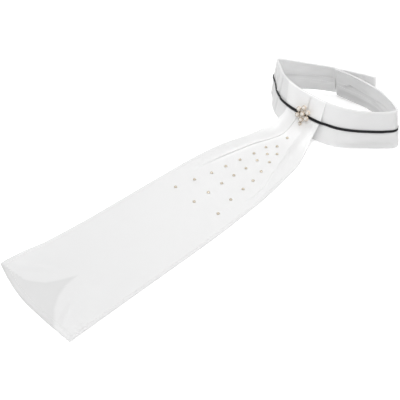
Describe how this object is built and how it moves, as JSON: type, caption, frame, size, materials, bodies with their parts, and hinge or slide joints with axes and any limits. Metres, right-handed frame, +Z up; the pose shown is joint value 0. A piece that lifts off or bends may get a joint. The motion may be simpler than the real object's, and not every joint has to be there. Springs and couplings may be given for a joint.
{
  "type": "stock tie",
  "caption": "White stock tie lying on a surface: a closed neck band with black piping, a pleated tail laid forward, a rose gold brooch and small crystals.",
  "frame": {"origin": "middle of the object's box in plan, on the surface that it lies on", "axes": "+X across the tail, along the neck band's long axis; the tail lies towards -Y from the band; +Z up from the surface"},
  "size_m": [0.1686, 0.4416, 0.0505],
  "materials": {
    "cloth": "matt white woven cloth",
    "satin": "black satin",
    "tape": "white hook-and-loop tape",
    "rose_gold": "polished rose gold plating",
    "pale_stone": "cut pale pink glass stone",
    "champagne_stone": "cut champagne glass stone with a mirrored back"
  },
  "bodies": {
    "root": {"collar_band": "cloth", "front_panel": "cloth", "tail": "cloth", "piping": "satin", "hook_tape": "tape", "loop_tape": "tape", "brooch_setting": "rose_gold", "brooch_centre_stone": "pale_stone", "brooch_drop_stone": "pale_stone", "brooch_petal_stone_1": "pale_stone", "brooch_petal_stone_2": "pale_stone", "brooch_petal_stone_3": "pale_stone", "brooch_petal_stone_4": "pale_stone", "brooch_petal_stone_5": "pale_stone", "brooch_petal_stone_6": "pale_stone", "crystal_01": "champagne_stone", "crystal_02": "champagne_stone", "crystal_03": "champagne_stone", "crystal_04": "champagne_stone", "crystal_05": "champagne_stone", "crystal_06": "champagne_stone", "crystal_07": "champagne_stone", "crystal_08": "champagne_stone", "crystal_09": "champagne_stone", "crystal_10": "champagne_stone", "crystal_11": "champagne_stone", "crystal_12": "champagne_stone", "crystal_13": "champagne_stone", "crystal_14": "champagne_stone", "crystal_15": "champagne_stone", "crystal_16": "champagne_stone", "crystal_17": "champagne_stone", "crystal_18": "champagne_stone", "crystal_19": "champagne_stone", "crystal_20": "champagne_stone", "crystal_21": "champagne_stone", "crystal_22": "champagne_stone", "crystal_23": "champagne_stone"}
  },
  "joints": []
}
